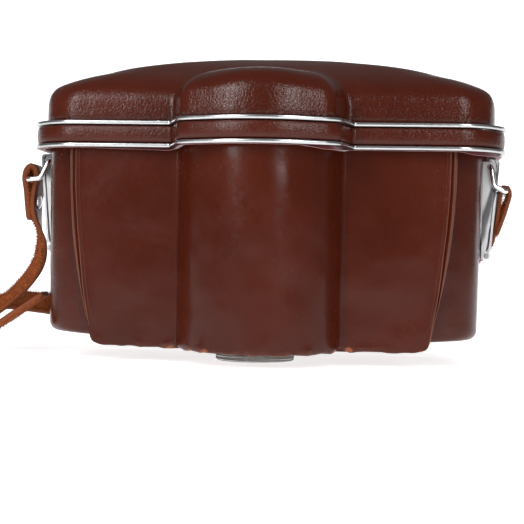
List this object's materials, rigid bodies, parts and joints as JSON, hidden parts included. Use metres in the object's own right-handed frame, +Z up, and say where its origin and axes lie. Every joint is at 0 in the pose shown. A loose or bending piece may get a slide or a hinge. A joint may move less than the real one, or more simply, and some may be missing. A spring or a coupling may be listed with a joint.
{
  "type": "camera case",
  "caption": "Moulded leather ever-ready case for a panoramic camera: hinged lid with chrome trim, spring side catches, strap rings, captive case screw and neck strap.",
  "frame": {"origin": "on the surface that the case stands on, below the centre of the case without its strap", "axes": "+X along the case to its right end as seen from the front, +Y towards the hinge at the back, +Z up"},
  "size_m": [0.3397, 0.1104, 0.1103],
  "materials": {
    "leather": "glossy",
    "strap_leather": "suede back, smooth face",
    "chrome": "polished",
    "steel": "plain",
    "brass": "plain",
    "velvet": "pile"
  },
  "bodies": {
    "body": {"body_lining": "velvet", "body_shell": "leather", "bracket_left": "chrome", "bracket_right": "chrome", "bracket_rivet_left_lower": "chrome", "bracket_rivet_left_upper": "chrome", "bracket_rivet_right_lower": "chrome", "bracket_rivet_right_upper": "chrome", "buckle_frame": "chrome", "buckle_prong": "chrome", "catch_pin_left": "steel", "catch_pin_right": "steel", "catch_spring_left": "steel", "catch_spring_right": "steel", "front_cover": "leather", "hinge_leaf_body": "chrome", "hinge_pin": "steel", "hinge_rivet_body_1": "chrome", "hinge_rivet_body_2": "chrome", "hinge_rivet_body_3": "chrome", "screw_bush": "brass", "sole_pad": "leather", "strap_back": "strap_leather", "strap_hank_back": "strap_leather", "strap_hank_side": "strap_leather", "strap_keeper": "strap_leather", "strap_left": "strap_leather", "strap_right": "strap_leather", "strap_tail": "strap_leather"},
    "lid": {"hinge_leaf_lid": "chrome", "hinge_rivet_lid_1": "chrome", "hinge_rivet_lid_2": "chrome", "hinge_rivet_lid_3": "chrome", "lid_belt": "leather", "lid_catch_left": "chrome", "lid_catch_right": "chrome", "lid_lining": "velvet", "lid_shell": "leather", "lid_skirt_lining": "velvet", "lid_trim_lower": "chrome", "lid_trim_upper": "chrome"},
    "lever_left": {"catch_lever_left": "chrome"},
    "lever_right": {"catch_lever_right": "chrome"},
    "ring_left": {"strap_ring_left": "chrome", "strap_loop_left": "strap_leather", "strap_rivet_left": "brass"},
    "ring_right": {"strap_ring_right": "chrome", "strap_loop_right": "strap_leather", "strap_rivet_right": "brass"},
    "screw_carrier": {"screw_clip": "steel"},
    "screw": {"case_screw": "brass", "screw_knob": "chrome"}
  },
  "joints": [
    {"name": "lid_hinge", "type": "hinge", "parent": "body", "child": "lid", "pos_m": [0, 0.0468, 0.073], "axis": [-1, 0, 0], "range_deg": [0, 115]},
    {"name": "lever_left_pivot", "type": "hinge", "parent": "body", "child": "lever_left", "pos_m": [-0.0795, 0.0074, 0.0393], "axis": [0, -1, 0], "range_deg": [0, 1.8], "stiffness_Nm_per_rad": 0.3, "springref_deg": -2.86},
    {"name": "lever_right_pivot", "type": "hinge", "parent": "body", "child": "lever_right", "pos_m": [0.0795, 0.0074, 0.0393], "axis": [0, 1, 0], "range_deg": [0, 1.8], "stiffness_Nm_per_rad": 0.3, "springref_deg": -2.86},
    {"name": "ring_left_pivot", "type": "hinge", "parent": "body", "child": "ring_left", "pos_m": [-0.0806, 0.0074, 0.0712], "axis": [0, 1, 0], "range_deg": [0, 70]},
    {"name": "ring_right_pivot", "type": "hinge", "parent": "body", "child": "ring_right", "pos_m": [0.0806, 0.0074, 0.0712], "axis": [0, -1, 0], "range_deg": [0, 80]},
    {"name": "screw_drop", "type": "slide", "parent": "body", "child": "screw_carrier", "axis": [0, 0, -1], "range_m": [0, 0.0016]},
    {"name": "screw_turn", "type": "hinge", "parent": "screw_carrier", "child": "screw", "pos_m": [-0.0027, -0.0026, 0], "axis": [0, 0, 1], "continuous": true}
  ]
}
